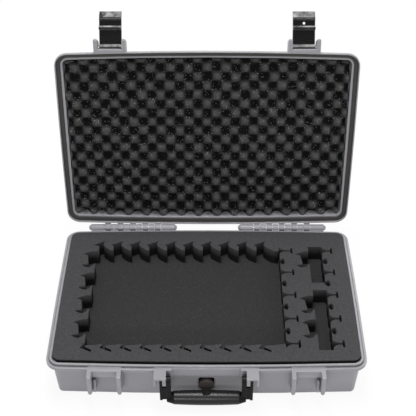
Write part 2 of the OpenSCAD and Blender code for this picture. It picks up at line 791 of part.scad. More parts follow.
// A slot with a slanting end and a mouth that sweeps along to the next slot, one pitch on
module swept_slot(first_x, reach, pitch) {
  polygon([
    [first_x, -1], [first_x, reach - 13], [-4, reach - 10.5], [-3, reach - 9], [14.5, reach], [15, reach - 1.5],
    [12.5, reach - 4.5], [12.5, reach - 9], [14.5, reach - 13.5], [19, 0.28 * reach], [25, 0.1 * reach],
    [pitch + 0.3, 0.02 * reach], [pitch + 0.3, -1]
  ]);
}

// A slit below the main pocket, with a low sail-shaped foam tip on its left
module front_slit(pitch) {
  polygon([
    [0, -1], [-0.5, 4], [-3, 6], [14, 15], [14.5, 13], [4, 6.5], [4.5, 4], [8, 3], [18, 2.4], [pitch + 0.3, 0], [pitch + 0.3, -1]
  ]);
}

// A wide notch cut along +Y: two tips with a lobe of foam between them
module lobed_notch(reach) {
  polygon([
    [20.5, -1], [20, reach - 14], [17.6, reach - 7], [13.4, reach - 0.5], [12.6, reach - 2], [11, reach - 6.5],
    [9.5, reach - 8], [-8, reach - 10.5], [-11.5, reach - 10], [-12, reach - 6], [-13.4, reach],
    [-14.6, reach - 1], [-18.4, reach - 6], [-19.7, reach - 12], [-17.5, reach - 16], [-13.4, reach - 18.5],
    [-10.4, reach - 20.5], [-10.4, -1]
  ]);
}

// A small pit with a narrow mouth at a pocket's edge
module pit() {
  polygon([
    [-4, -1], [-3, 1], [-6, 2], [-7, 4], [-6.5, 6], [-3, 7.5], [3, 7.5], [6.5, 6], [7, 4], [6, 2], [3, 1], [4, -1]
  ]);
}

// Slots on the right side of a pocket, pointing to +X
module right_slots(x, reach, first, last) {
  for (k = [first:last]) translate([x, end_y0 - k * end_pitch]) rotate(-90) t_slot(reach, slot_bar);
  for (k = [first:last - 1]) translate([x, end_y0 - (k + 0.5) * end_pitch]) rotate(-90) pit();
}

// Notches on the left side of a pocket, pointing to -X
module left_notches(x, places) {
  for (k = places) translate([x, end_y0 - (k + 0.42) * end_pitch]) rotate(90) lobed_notch(notch_l);
}

module pockets() {
  translate([pocket_x0, pocket_y0]) square([pocket_w, pocket_d]);
  for (k = [0:slots - 2]) translate([slot_x0 + k * slot_pitch, 0]) {
    translate([0, pocket_y1]) swept_slot(k == 0 ? 6 : 0, back_slot_l, slot_pitch);
    translate([0, pocket_y0]) mirror([0, 1]) front_slit(slot_pitch);
  }
  left_notches(pocket_x0, [0:end_slots - 2]);
  right_slots(pocket_x1, slot_l, 0, end_slots - 1);
  translate([small_x0, small_y1 - small_back_l]) square([small_w, small_back_l]);
  translate([small_x0, small_y1 - small_back_l - small_bridge - small_front_l]) square([small_w, small_front_l]);
  right_slots(small_x1, small_slot_l, 0, end_slots - 1);
  left_notches(small_x0, [0, 2, 3]);
}

// The block stands between the walls, and its proud top is wider and lies on the rim's ledge
module pocket_foam() {
  ledge_z = base_h + seat;
  color(FOAM) union() {
    translate([0, 0, block_z]) linear_extrude(ledge_z - block_z) difference() {
      foam_outline(0, rim_r - block_in + 2, 5);
      pockets();
    }
    translate([0, 0, ledge_z]) linear_extrude(foam_top - ledge_z) difference() {
      polygon(rim_points(ledge_in));
      pockets();
    }
  }
}

module floor_foam() {
  floor_in = draft * block_z / base_h;
  low_in = draft - block_in + inside + floor_edge_r - wall;
  notch = valve_barrel_d + 12;
  color(FOAM) difference() {
    union() {
      translate([0, 0, wall + seat]) linear_extrude(floor_edge_r) foam_outline(low_in, 3, 3);
      translate([0, 0, floor_edge_r]) linear_extrude(block_z - floor_edge_r) foam_outline(floor_in, 6, 4);
    }
    translate([-notch / 2, foam_front - 20, valve_z - notch / 2]) cube([notch, 24, notch]);
  }
}

lid_foam_in = inside + 3;
lid_foam_front = foam_proud + 0.5;       // tops of the bumps behind the parting plane
lid_foam_back = lid_h - wall - seat;
lid_foam_squeeze = lid_edge_r - wall;     // how far the back is drawn in for the round edge

// Height of the foam's face at a corner of its grid: bumps and hollows take turns
function bump(i, j) = (i + j) % 2 == 0 ? 0 : bump_h;

// A grid corner of the lid foam; the four outer corners are drawn in for the shell
function grid_point(i, j, shrink, h) =
  let (u = 2 * i / bump_columns - 1, v = 2 * j / bump_rows - 1)
  let (cut = abs(u) == 1 && abs(v) == 1 ? 4.5 : 0)
  let (hx = rim_w / 2 - lid_foam_in - shrink - cut, hy = rim_d / 2 - lid_foam_in - shrink - cut)
  concat(bowed([u * hx, v * hy]), lid_z + h);

module lid_foam() {
  nx = bump_columns + 1;
  ny = bump_rows + 1;
  face = [for (j = [0:bump_rows], i = [0:bump_columns]) grid_point(i, j, 0, lid_foam_front + bump(i, j))];
  edge = concat(
    [for (i = [0:bump_columns]) [i, 0]], [for (j = [1:bump_rows]) [bump_columns, j]],
    [for (i = [bump_columns - 1:-1:0]) [i, bump_rows]], [for (j = [bump_rows - 1:-1:1]) [0, j]]
  );
  n = len(edge);
  back = [for (e = edge) grid_point(e.x, e.y, lid_foam_squeeze, lid_foam_back)];
  first = nx * ny;
  color(FOAM) on_open_lid() polyhedron(
    points = concat(face, back),
    faces = concat(
      [for (j = [0:bump_rows - 1], i = [0:bump_columns - 1], t = [0, 1])
        let (a = j * nx + i, b = a + 1, c = a + nx + 1, d = a + nx)
        (i + j) % 2 == 0 ? (t == 0 ? [a, b, c] : [a, c, d]) : (t == 0 ? [a, b, d] : [b, c, d])],
      [for (k = [0:n - 1], t = [0, 1])
        let (e = edge[k], f = edge[(k + 1) % n], p = e.y * nx + e.x, q = f.y * nx + f.x)
        let (r = first + (k + 1) % n, s = first + k)
        t == 0 ? [p, s, r] : [p, r, q]],
      [[for (k = [n - 1:-1:0]) first + k]]
    ),
    convexity = 6
  );
}

base_shell();
lid_shell();
lid_seal();
hinge_pin(left);  // hinge_pin_left
hinge_pin(right);  // hinge_pin_right
latch(left, false);  // latch_left
latch(right, true);  // latch_right
latch_pin(left);  // latch_pin_left
latch_pin(right);  // latch_pin_right
handle_frame();
handle_grip();
handle_pin(left);  // handle_pin_left
handle_pin(right);  // handle_pin_right
valve_body();
valve_knob();
valve_ring();
valve_nut();
floor_foam();
pocket_foam();
lid_foam();
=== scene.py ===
import math
import random

import bmesh
import bpy
from mathutils import Euler, Matrix, Vector


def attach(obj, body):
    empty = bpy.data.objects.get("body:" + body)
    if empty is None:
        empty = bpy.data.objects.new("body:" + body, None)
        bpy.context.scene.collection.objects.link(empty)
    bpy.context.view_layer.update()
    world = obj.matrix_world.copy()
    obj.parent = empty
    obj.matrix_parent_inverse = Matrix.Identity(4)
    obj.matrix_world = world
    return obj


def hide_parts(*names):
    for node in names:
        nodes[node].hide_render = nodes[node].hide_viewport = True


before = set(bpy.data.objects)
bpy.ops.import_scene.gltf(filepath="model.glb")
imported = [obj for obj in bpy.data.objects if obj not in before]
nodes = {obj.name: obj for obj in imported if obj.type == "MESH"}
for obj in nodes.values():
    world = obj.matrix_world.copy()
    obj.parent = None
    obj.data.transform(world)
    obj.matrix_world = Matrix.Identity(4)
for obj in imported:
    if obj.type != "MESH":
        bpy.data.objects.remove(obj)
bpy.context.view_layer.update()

MM = 0.001

# ---------------------------------------------------------------- camera

CAMERA_PLACE = (0.00855, -1.1710, 1.1808)     # metres
CAMERA_DOWN = math.radians(38.61)
CAMERA_TURN = 0.00554                         # radians
CAMERA_ROLL = -0.0022
CAMERA_LENS = 87.72                           # mm, on a sensor of CAMERA_SENSOR
CAMERA_SENSOR = 36.0
CAMERA_FAR = 50.0


def add_camera():
    data = bpy.data.cameras.new("camera")
    data.lens = CAMERA_LENS
    data.sensor_width = CAMERA_SENSOR
    data.clip_end = CAMERA_FAR
    data.dof.use_dof = False
    camera = bpy.data.objects.new("camera", data)
    camera.location = CAMERA_PLACE
    aim = Euler((math.pi / 2 - CAMERA_DOWN, 0.0, CAMERA_TURN)).to_matrix()
    camera.rotation_euler = (aim @ Matrix.Rotation(CAMERA_ROLL, 3, "Z")).to_euler()
    bpy.context.scene.collection.objects.link(camera)
    bpy.context.scene.camera = camera


add_camera()

# ---------------------------------------------------------------- sizes, mm

RIM_W = 475.0                 # straight-sided rim outline of base and lid
RIM_D = 311.5
BOW_LONG = 4.5                # how far the long and the short sides bow out
BOW_END = 1.0
LID_Z = 69.3                  # parting plane of the lid while shut
LID_OPEN = math.radians(95.4)
HINGE = Vector((0.0, 0.16725, 0.069))

# The lid's egg-crate foam
CRATE_IN = 14.5               # from the rim's edge to the sheet's side
CRATE_TOP = 5.5               # from the parting plane to the tops of the bumps
CRATE_BACK = 21.2             # from the parting plane to the sheet's flat back
CRATE_DEEP = 11.5             # from the top of a bump to the bottom of a hollow
CRATE_COLUMNS = 30            # half waves across and down
CRATE_ROWS = 18
CRATE_STEPS = 6               # mesh faces across one half wave
CRATE_CORNER = 9.0            # radius of the corners of the sheet
CRATE_FULLNESS = 0.85         # under 1 the bumps and hollows are fuller than a plain wave
CRATE_TAPER = 9.5             # how far the side leans in from the face to the back
CRATE_RISE = (-0.7, 1.3)      # how far a bump is cut too high or too low
CRATE_SWAY = 0.16             # how far a bump stands off its place, as a share of a half wave
CRATE_SIDE_SHADE = 0.6        # the side, on the scale of the attribute "hollow"
CRATE_SEED = 7

# The base's foam blocks
BLOCK_EDGE = (1.2, 3)         # radius of the pocket block's relaxed edges, and their steps
FLOOR_EDGE = (0.8, 2)
CRISP_TURN = math.radians(30)             # an edge that turns more than this is relaxed
BLOCK_SHARP = math.radians(40)            # and one that turns more than this is shaded sharp
CRATE_SHARP = math.radians(60)
WELD = 0.01                               # mesh corners closer than this are one
FLAT_TURN = math.radians(0.5)             # faces that turn less than this are one
DARK_BELOW = 22.0             # depth at which the painted shade in a cut in the block is darkest
FLOOR_SHADE = 0.30            # the floor block's face, on the scale of "hollow"
LEDGE_Z = 69.0                # the block's proud top starts here, on the rim's ledge
FRONT_FROM = -126.0           # in front of this the proud top is drawn back from the rim
FRONT_BACK = 4.6
FRONT_EASE = 12.0             # length over which it is drawn back
FRONT_LIGHT = 0.6             # height of the lit strip along the top of its front face

# The slits in front of the main pocket
SLIT_X0 = -186.1              # where the first one starts
SLIT_Y0 = -111.2              # the pocket's front edge
SLIT_PITCH = 29.8
SLIT_LIGHT = 0.15             # height of the lit strip along the top of their walls
SLIT_OUT = (1.5, 19.5)        # their walls carry painted shade between these distances from the pocket's edge
SLIT_NEAR = 0.4               # how exactly a mesh corner has to lie on a corner of the drawing
SLIT_CORNERS = (              # corner across and out, then how far it moves across and out
    (14.0, 15.0, 0.5, 2.6),
    (-3.0, 6.0, -0.6, 2.4))


# ---------------------------------------------------------------- node helpers

class Tree:
    """Adds nodes to a material or a group, and links them by socket name."""

    def __init__(self, tree):
        self.tree = tree
        tree.nodes.clear()

    def add(self, kind, inputs=None, **settings):
        node = self.tree.nodes.new(kind)
        for key, value in settings.items():
            setattr(node, key, value)
        for key, value in (inputs or {}).items():
            self.feed(value, node.inputs[key])
        return node

    def feed(self, value, socket):
        if isinstance(value, bpy.types.NodeSocket):
            self.tree.links.new(value, socket)
        else:
            socket.default_value = value

    def math(self, operation, a, b=0.0, clamp=False):
        return self.add("ShaderNodeMath", {0: a, 1: b}, operation=operation, use_clamp=clamp).outputs[0]

    def span(self, value, from_low, from_high, to_low=0.0, to_high=1.0):
        return self.add("ShaderNodeMapRange", {
            "Value": value, "From Min": from_low, "From Max": from_high,
            "To Min": to_low, "To Max": to_high}).outputs["Result"]

    def mix(self, factor, a, b, blend="MIX"):
        node = self.add("ShaderNodeMix", data_type="RGBA", blend_type=blend)
        for value, index in ((factor, 0), (a, 6), (b, 7)):
            self.feed(value, node.inputs[index])
        return node.outputs[2]

    def noise(self, place, scale, detail=3.0, rough=0.55):
        return self.add("ShaderNodeTexNoise", {
            "Vector": place, "Scale": scale, "Detail": detail, "Roughness": rough}).outputs["Fac"]


def start_group(name, inputs, outputs):
    group = bpy.data.node_groups.new(name, "ShaderNodeTree")
    tree = Tree(group)
    for label, kind, default in inputs:
        socket = group.interface.new_socket(label, in_out="INPUT", socket_type=kind)
        if default is not None:
            socket.default_value = default
    for label, kind in outputs:
        group.interface.new_socket(label, in_out="OUTPUT", socket_type=kind)
    return group, tree, tree.add("NodeGroupInput"), tree.add("NodeGroupOutput")


NUMBER, VECTOR = "NodeSocketFloat", "NodeSocketVector"


def wear_and_edge_highlight_group():
    """Finds the outer edges of a moulding, which are brightened partly as rubbed wear and partly as a painted
    edge highlight.
    """
    group, tree, given, result = start_group(
        "wear_and_edge_highlight",
        [("Width", NUMBER, 0.002), ("Patchiness", NUMBER, 0.5)],
        [("Edge", NUMBER), ("Rounded Normal", VECTOR)])
    place = tree.add("ShaderNodeTexCoord").outputs["Object"]
    bevel = tree.add("ShaderNodeBevel", {"Radius": given.outputs["Width"]}, samples=4)
    normal = tree.add("ShaderNodeNewGeometry").outputs["Normal"]
    dot = tree.add("ShaderNodeVectorMath", {0: bevel.outputs["Normal"], 1: normal}, operation="DOT_PRODUCT")
    edge = tree.span(dot.outputs["Value"], 0.995, 0.80)
    patches = tree.noise(place, 55.0, 4.0)
    kept = tree.span(patches, 0.35, 0.62)
    share = tree.math("SUBTRACT", 1.0, given.outputs["Patchiness"])
    weight = tree.math("MAXIMUM", kept, share)
    tree.feed(tree.math("MULTIPLY", edge, weight), result.inputs["Edge"])
    tree.feed(bevel.outputs["Normal"], result.inputs["Rounded Normal"])
    return group


def moulded_grain_group():
    """The spark-eroded grain of a moulded part, with a slow drift of tone and gloss."""
    group, tree, given, result = start_group(
        "moulded_grain",
        [("Grain Size", NUMBER, 0.0008), ("Drift Size", NUMBER, 0.12)],
        [("Height", NUMBER), ("Tone", NUMBER), ("Gloss", NUMBER)])
    place = tree.add("ShaderNodeTexCoord").outputs["Object"]
    fine = tree.noise(place, tree.math("DIVIDE", 1.0, given.outputs["Grain Size"]), 2.0, 0.6)
    coarse = tree.noise(place, tree.math("DIVIDE", 0.3, given.outputs["Grain Size"]), 2.0, 0.5)
    height = tree.math("ADD", tree.math("MULTIPLY", fine, 0.7), tree.math("MULTIPLY", coarse, 0.3))
    drift = tree.noise(place, tree.math("DIVIDE", 1.0, given.outputs["Drift Size"]), 3.0, 0.5)
    tree.feed(height, result.inputs["Height"])
    tree.feed(tree.span(drift, 0.3, 0.7, 0.94, 1.06), result.inputs["Tone"])
    tree.feed(tree.span(coarse, 0.3, 0.7, -0.06, 0.06), result.inputs["Gloss"])
    return group


def dust_and_lit_tops_group():
    """Lightens what faces up, in loose patches: pale dust, and where the amount is large a painted top light.
    """
    group, tree, given, result = start_group(
        "dust_and_lit_tops",
        [("Amount", NUMBER, 0.3), ("Patch Size", NUMBER, 0.03)],
        [("Dust And Top Light", NUMBER)])
    place = tree.add("ShaderNodeTexCoord").outputs["Object"]
    normal = tree.add("ShaderNodeNewGeometry").outputs["Normal"]
    up = tree.add("ShaderNodeSeparateXYZ", {0: normal}).outputs["Z"]
    facing = tree.span(up, 0.55, 0.95)
    patches = tree.noise(place, tree.math("DIVIDE", 1.0, given.outputs["Patch Size"]), 5.0, 0.6)
    lying = tree.math("MULTIPLY", tree.span(patches, 0.38, 0.75), facing)
    tree.feed(tree.math("MULTIPLY", lying, given.outputs["Amount"]), result.inputs["Dust And Top Light"])
    return group


def open_cells_group():
    """Open-cell foam: round cells, dark pores and a few cut cell walls whose glints are painted."""
    group, tree, given, result = start_group(
        "open_cells",
        [("Cell Size", NUMBER, 0.0012), ("Mottle Size", NUMBER, 0.006), ("Glint Size", NUMBER, 0.0030)],
        [("Height", NUMBER), ("Pores", NUMBER), ("Glints", NUMBER), ("Mottle", NUMBER)])
    place = tree.add("ShaderNodeTexCoord").outputs["Object"]
    per_cell = tree.math("DIVIDE", 1.0, given.outputs["Cell Size"])
    cells = tree.add("ShaderNodeTexVoronoi", {"Vector": place, "Scale": per_cell}, feature="F1")
    mottle = tree.noise(place, tree.math("DIVIDE", 1.0, given.outputs["Mottle Size"]), 4.0, 0.65)
    fine = tree.noise(place, tree.math("MULTIPLY", per_cell, 0.8), 2.0, 0.7)
    near = cells.outputs["Distance"]
    tree.feed(tree.math("ADD", tree.math("MULTIPLY", near, 0.8), fine), result.inputs["Height"])
    tree.feed(tree.span(near, 0.45, 0.15), result.inputs["Pores"])
    sparse = tree.add("ShaderNodeTexVoronoi", {
        "Vector": place, "Scale": tree.math("DIVIDE", 1.0, given.outputs["Glint Size"])}, feature="F1")
    chance = tree.add("ShaderNodeSeparateXYZ", {0: sparse.outputs["Color"]}).outputs["X"]
    spot = tree.span(sparse.outputs["Distance"], 0.34, 0.18)
    tree.feed(tree.math("MULTIPLY", tree.span(chance, 0.68, 0.95), spot), result.inputs["Glints"])
    tree.feed(tree.span(mottle, 0.25, 0.75), result.inputs["Mottle"])
    return group


def shaded_crevice_group():
    """Finds inner corners and narrow gaps, where little light comes in, for painted shade there."""
    group, tree, given, result = start_group(
        "shaded_crevice",
        [("Reach", NUMBER, 0.006)],
        [("Crevice", NUMBER)])
    open_sky = tree.add("ShaderNodeAmbientOcclusion", {"Distance": given.outputs["Reach"]}, samples=8)
    tree.feed(tree.span(open_sky.outputs["AO"], 0.80, 0.25), result.inputs["Crevice"])
    return group


WEAR_AND_EDGE_HIGHLIGHT = wear_and_edge_highlight_group()
SHADED_CREVICE = shaded_crevice_group()
MOULDED_GRAIN = moulded_grain_group()
DUST_AND_LIT_TOPS = dust_and_lit_tops_group()
OPEN_CELLS = open_cells_group()


def start_material(name):
    material = bpy.data.materials.new(name)
    material.use_nodes = True
    tree = Tree(material.node_tree)
    shader = tree.add("ShaderNodeBsdfPrincipled")
    tree.add("ShaderNodeOutputMaterial", {"Surface": shader.outputs["BSDF"]})
    return material, tree, shader


def use_group(tree, group, **values):
    node = tree.add("ShaderNodeGroup")
    node.node_tree = group
    for key, value in values.items():
        tree.feed(value, node.inputs[key.replace("_", " ")])
    return node.outputs


def solid(colour, share=1.0):
    """A colour for a socket, made darker or lighter by the share."""
    return (*(part * share for part in colour), 1.0)


# pale colour of the dust and of the painted top light on up-facing faces
DUST_AND_TOP_LIGHT_COLOUR = (0.62, 0.61, 0.60)
EDGE_WEAR_AND_HIGHLIGHT_COVER = 0.8              # how much of the worn colour shows on an edge, as wear and painted highlight
WEAR_GLOSS = 0.08             # how much smoother a worn edge is
CREVICE_SHADE_COVER = 0.75            # how much of the painted shade in a crevice shows
CREVICE_SHADE_SHARE = 0.12            # the painted shade's tone, as a share of the plastic's own colour
PORE_COVER = 0.45
DEPTH_SHADE_COVER = 0.93
FOAM_TONES = (0.80, 1.25)     # darkest and lightest mottle, as shares of the foam's colour
# lightening of the rubber's edges: rubbed wear and a painted edge highlight
RUBBER_EDGE_WEAR_AND_HIGHLIGHT = 0.5
RUBBER_WORN_AND_LIT_SHARE = 2.2


def moulded_plastic(name, colour, worn_and_highlight_colour, roughness, grain, dust_and_top_light=0.0, edge=0.0022, specular=0.5):
    """Injection-moulded plastic with a fine grain; edges lightened as rubbed wear and painted highlight,
    crevices darkened as painted shade, and up-facing faces lightened as pale dust and painted top light.
    """
    material, tree, shader = start_material(name)
    grained = use_group(tree, MOULDED_GRAIN, Grain_Size=0.0007, Drift_Size=0.10)
    edge_wear_and_highlight = use_group(tree, WEAR_AND_EDGE_HIGHLIGHT, Width=edge, Patchiness=0.35)
    dusty_and_lit = use_group(tree, DUST_AND_LIT_TOPS, Amount=dust_and_top_light, Patch_Size=0.02)
    crevice = use_group(tree, SHADED_CREVICE, Reach=0.007)
    toned = tree.mix(1.0, solid(colour), grained["Tone"], "MULTIPLY")
    # painted shade: crevices found by ambient occlusion are darkened in the colour
    crevice_shade = tree.math("MULTIPLY", crevice["Crevice"], CREVICE_SHADE_COVER)
    crevice_shaded = tree.mix(crevice_shade, toned, solid(colour, CREVICE_SHADE_SHARE))
    # painted highlight: the edge mask lightens the colour, for rubbed wear and for the light caught on edges
    rubbed_and_lit = tree.mix(tree.math("MULTIPLY", edge_wear_and_highlight["Edge"], EDGE_WEAR_AND_HIGHLIGHT_COVER), crevice_shaded, solid(worn_and_highlight_colour))
    # pale dust and painted top light on up-facing faces
    tree.feed(tree.mix(dusty_and_lit["Dust And Top Light"], rubbed_and_lit, solid(DUST_AND_TOP_LIGHT_COLOUR)), shader.inputs["Base Color"])
    rough = tree.math("ADD", grained["Gloss"], roughness)
    smoothed = tree.math("MULTIPLY", edge_wear_and_highlight["Edge"], WEAR_GLOSS)
    tree.feed(tree.math("SUBTRACT", rough, smoothed, True), shader.inputs["Roughness"])
    shader.inputs["Specular IOR Level"].default_value = specular
    bump = tree.add("ShaderNodeBump", {
        "Strength": grain, "Distance": 0.0004, "Height": grained["Height"], "Normal": edge_wear_and_highlight["Rounded Normal"]})
    tree.feed(bump.outputs["Normal"], shader.inputs["Normal"])
    return material


def cut_foam(name, colour, pore_and_shade_colour, glint_colour, glints, shade_from, shade_to):
    """Charcoal open-cell foam, with painted shade where its shape lies deep."""
    material, tree, shader = start_material(name)
    cells = use_group(tree, OPEN_CELLS, Cell_Size=0.0012, Mottle_Size=0.0028, Glint_Size=0.0024)
    dark, light = FOAM_TONES
    body = tree.mix(cells["Mottle"], solid(colour, dark), solid(colour, light))
    depth = tree.add("ShaderNodeAttribute", attribute_name="hollow").outputs["Fac"]
    # painted shade: deep parts of the foam are darkened in the colour
    shaded = tree.mix(tree.span(depth, shade_from, shade_to, 0.0, DEPTH_SHADE_COVER), body, solid(pore_and_shade_colour))
    pored = tree.mix(tree.math("MULTIPLY", cells["Pores"], PORE_COVER), shaded, solid(pore_and_shade_colour))
    # painted glints: bright specks standing in for light caught by cut cell walls
    glinting = tree.mix(tree.math("MULTIPLY", cells["Glints"], glints), pored, solid(glint_colour))
    tree.feed(glinting, shader.inputs["Base Color"])
    tree.feed(tree.span(cells["Mottle"], 0.0, 1.0, 0.82, 0.96), shader.inputs["Roughness"])
    shader.inputs["Specular IOR Level"].default_value = 0.08
    bump = tree.add("ShaderNodeBump", {"Strength": 0.7, "Distance": 0.0008, "Height": cells["Height"]})
    tree.feed(bump.outputs["Normal"], shader.inputs["Normal"])
    return material


def soft_rubber(name, colour, roughness):
    """Soft rubber with a matt skin, its edges rounded and lightened as rubbed wear and a painted edge
    highlight.
    """
    material, tree, shader = start_material(name)
    grained = use_group(tree, MOULDED_GRAIN, Grain_Size=0.0009, Drift_Size=0.05)
    edge_wear_and_highlight = use_group(tree, WEAR_AND_EDGE_HIGHLIGHT, Width=0.0012, Patchiness=0.6)
    toned = tree.mix(1.0, solid(colour), grained["Tone"], "MULTIPLY")
    edge_wear_and_light = tree.math("MULTIPLY", edge_wear_and_highlight["Edge"], RUBBER_EDGE_WEAR_AND_HIGHLIGHT)
    rubbed_and_lit = tree.mix(edge_wear_and_light, toned, solid(colour, RUBBER_WORN_AND_LIT_SHARE))
    tree.feed(rubbed_and_lit, shader.inputs["Base Color"])
    tree.feed(tree.math("ADD", grained["Gloss"], roughness, True), shader.inputs["Roughness"])
    shader.inputs["Specular IOR Level"].default_value = 0.3
    bump = tree.add("ShaderNodeBump", {
        "Strength": 0.04, "Distance": 0.0003, "Height": grained["Height"], "Normal": edge_wear_and_highlight["Rounded Normal"]})
    tree.feed(bump.outputs["Normal"], shader.inputs["Normal"])
    return material


def brushed_steel(name):
    """Drawn steel rod: fine lines along X and a soft shine."""
    material, tree, shader = start_material(name)
    place = tree.add("ShaderNodeTexCoord").outputs["Object"]
    drawn = tree.add("ShaderNodeMapping", {"Vector": place, "Scale": (40.0, 2600.0, 2600.0)})
    lines = tree.noise(drawn.outputs["Vector"], 1.0, 3.0, 0.6)
    steel = tree.mix(lines, solid((0.50, 0.50, 0.51)), solid((0.68, 0.68, 0.69)))
    tree.feed(steel, shader.inputs["Base Color"])
    tree.feed(tree.span(lines, 0.3, 0.7, 0.22, 0.42), shader.inputs["Roughness"])
    shader.inputs["Metallic"].default_value = 1.0
    bump = tree.add("ShaderNodeBump", {"Strength": 0.2, "Distance": 0.0001, "Height": lines})
    tree.feed(bump.outputs["Normal"], shader.inputs["Normal"])
    return material


# ---------------------------------------------------------------- finishes

SHELL_PLASTIC = moulded_plastic(
    "shell_plastic", colour=(0.315, 0.310, 0.332), worn_and_highlight_colour=(0.66, 0.66, 0.68),
    roughness=0.34, grain=0.20, dust_and_top_light=0.05)
# the latches' pale edges and up-facing faces are painted highlights, through the large dust and edge amounts
LATCH_PLASTIC = moulded_plastic(
    "latch_plastic", colour=(0.004, 0.004, 0.005), worn_and_highlight_colour=(0.36, 0.36, 0.37),
    roughness=0.26, grain=0.10, dust_and_top_light=0.9, edge=0.0016, specular=0.12)
HANDLE_PLASTIC = moulded_plastic(
    "handle_plastic", colour=(0.005, 0.005, 0.005), worn_and_highlight_colour=(0.05, 0.05, 0.05),
    roughness=0.30, grain=0.10, edge=0.0012, specular=0.12)
KNOB_PLASTIC = moulded_plastic(
    "knob_plastic", colour=(0.070, 0.059, 0.055), worn_and_highlight_colour=(0.18, 0.165, 0.155),
    roughness=0.36, grain=0.30, edge=0.0012)
GRIP_RUBBER = soft_rubber("grip_rubber", colour=(0.007, 0.007, 0.007), roughness=0.30)
SEAL_RUBBER = soft_rubber("seal_rubber", colour=(0.050, 0.046, 0.045), roughness=0.55)
PIN_STEEL = brushed_steel("pin_steel")
BLOCK_FOAM = cut_foam(
    "block_foam", colour=(0.072, 0.072, 0.075), pore_and_shade_colour=(0.006, 0.006, 0.006),
    glint_colour=(0.22, 0.22, 0.23), glints=0.25, shade_from=0.05, shade_to=0.60)
CRATE_FOAM = cut_foam(
    "crate_foam", colour=(0.078, 0.076, 0.077), pore_and_shade_colour=(0.003, 0.003, 0.003),
    glint_colour=(0.42, 0.42, 0.43), glints=0.80, shade_from=0.22, shade_to=0.66)

FINISHES = {
    "base_shell": SHELL_PLASTIC, "lid_shell": SHELL_PLASTIC,
    "lid_seal": SEAL_RUBBER, "valve_ring": SEAL_RUBBER,
    "latch_left": LATCH_PLASTIC, "latch_right": LATCH_PLASTIC,
    "handle_frame": HANDLE_PLASTIC, "valve_body": HANDLE_PLASTIC, "valve_nut": HANDLE_PLASTIC,
    "valve_knob": KNOB_PLASTIC, "handle_grip": GRIP_RUBBER,
    "hinge_pin_left": PIN_STEEL, "hinge_pin_right": PIN_STEEL,
    "latch_pin_left": PIN_STEEL, "latch_pin_right": PIN_STEEL,
    "handle_pin_left": PIN_STEEL, "handle_pin_right": PIN_STEEL,
}


def finish_nodes():
    for name, material in FINISHES.items():
        for slot in nodes[name].material_slots:
            slot.material = material


finish_nodes()

# ---------------------------------------------------------------- foam


def add_piece(name, mesh, material, body):
    piece = bpy.data.objects.new(name, mesh)
    bpy.context.scene.collection.objects.link(piece)
    mesh.materials.clear()
    mesh.materials.append(material)
    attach(piece, body)
    return piece


def settle_modifiers(piece):
    """Puts the shape that the modifiers make into the mesh itself."""
    graph = bpy.context.evaluated_depsgraph_get()
    shaped = bpy.data.meshes.new_from_object(piece.evaluated_get(graph))
    piece.modifiers.clear()
    piece.data = shaped


def mark_depth(mesh, top):
    """Writes how deep each point lies below the block's face, for the painted shade in the foam's colour."""
    layer = mesh.attributes.new("hollow", "FLOAT", "POINT")
    layer.data.foreach_set("value", [min(1.0, (top - v.co.z) / (DARK_BELOW * MM)) for v in mesh.vertices])


def shade_slits(mesh, top):
    """Paints shade on the walls of the front slits right up to the block's face."""
    shade = mesh.attributes["hollow"].data
    nearest, farthest = SLIT_OUT
    for v in mesh.vertices:
        in_reach = nearest < SLIT_Y0 - v.co.y / MM < farthest and abs(v.co.x) < abs(SLIT_X0) * MM
        if in_reach and v.co.z < top - SLIT_LIGHT * MM:
            shade[v.index].value = 1.0


def draw_front_back(mesh, top):
    """Draws the block's proud top back from the front rim and paints shade on its front face, so the gap
    between them reads dark.
    """
    shade = mesh.attributes["hollow"].data
    for v in mesh.vertices:
        ahead = FRONT_FROM * MM - v.co.y
        if v.co.z < LEDGE_Z * MM or ahead <= 0:
            continue
        # painted shade on the front face below its lit strip
        if v.co.z < top - FRONT_LIGHT * MM:
            shade[v.index].value = 1.0
        v.co.y += FRONT_BACK * MM * min(1.0, ahead / (FRONT_EASE * MM))


def open_slits(work):
    """Spreads the slits along the front of the main pocket, as cut foam does."""
    for v in work.verts:
        x, y = v.co.x / MM - SLIT_X0, SLIT_Y0 - v.co.y / MM
        for across, out, move_across, move_out in SLIT_CORNERS:
            past = (x - across) % SLIT_PITCH
            if min(past, SLIT_PITCH - past) < SLIT_NEAR and abs(y - out) < SLIT_NEAR:
                v.co.x += move_across * MM
                v.co.y -= move_out * MM


def weigh_top_edges(work, top):
    """Gives the crisp edges of the block's face their full weight, so that only they are relaxed."""
    weight = work.edges.layers.float.new("bevel_weight_edge")
    for e in work.edges:
        turned = len(e.link_faces) == 2 and e.calc_face_angle(0.0) > CRISP_TURN
        if turned and all(v.co.z > top - 0.1 * MM for v in e.verts):
            e[weight] = 1.0


